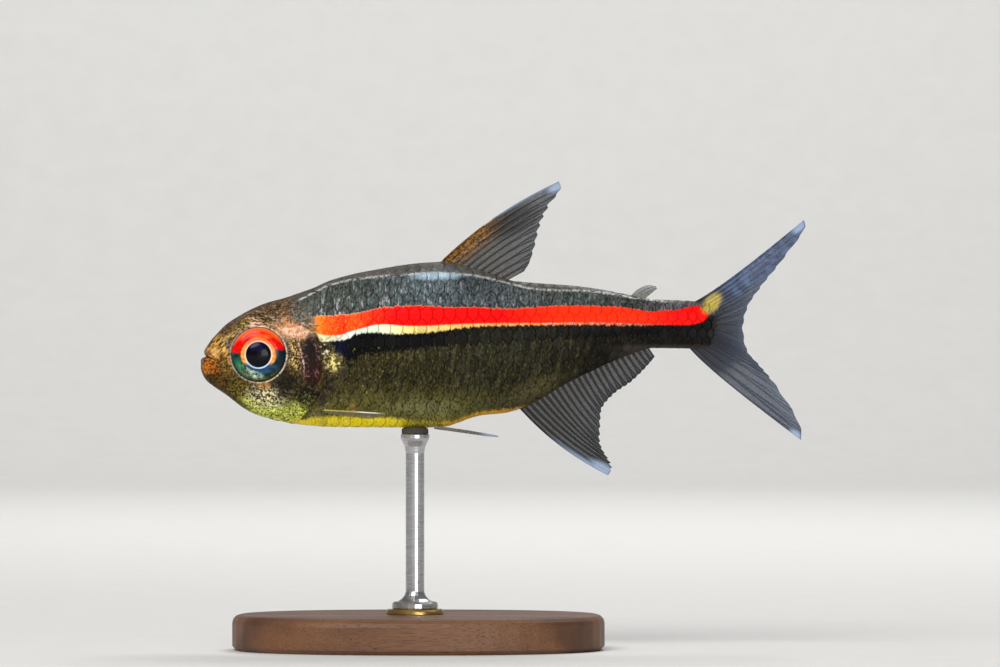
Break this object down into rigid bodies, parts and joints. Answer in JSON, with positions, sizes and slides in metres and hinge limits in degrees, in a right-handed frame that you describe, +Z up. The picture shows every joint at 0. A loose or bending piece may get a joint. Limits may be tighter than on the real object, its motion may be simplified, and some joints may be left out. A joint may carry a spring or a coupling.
{
  "type": "amapa tetra model",
  "caption": "Still life-size model of an amapa tetra, a small red-striped aquarium fish in a level swimming pose, held on a rod over an oval display base.",
  "frame": {"origin": "on the surface that the stand rests on, under the middle of the whole model's box", "axes": "+X towards the fish's tail, -X towards its snout; +Y to the fish's right side; +Z up"},
  "size_m": [0.0358, 0.015, 0.0277],
  "materials": {
    "skin_head": "painted and clear-coated, gold and olive with dark freckles",
    "skin_flank": "painted and clear-coated scales, silver grey back, red stripe, olive belly",
    "eye": "high gloss, red over blue-green iris, black pupil",
    "fin": "thin translucent membrane between fine rays",
    "base_wood": "dark stained hardwood, satin",
    "rod_steel": "turned and brushed"
  },
  "bodies": {
    "root": {"head": "skin_head", "lower_jaw": "skin_head", "gill_cover_left": "skin_head", "gill_cover_right": "skin_head", "eye_left": "eye", "eye_right": "eye", "trunk": "skin_flank", "caudal_peduncle": "skin_flank", "dorsal_fin": "fin", "adipose_fin": "fin", "anal_fin": "fin", "caudal_fin": "fin", "pectoral_fin_left": "fin", "pectoral_fin_right": "fin", "pelvic_fin_left": "fin", "pelvic_fin_right": "fin", "stand_base": "base_wood", "stand_rod": "rod_steel"}
  },
  "joints": []
}
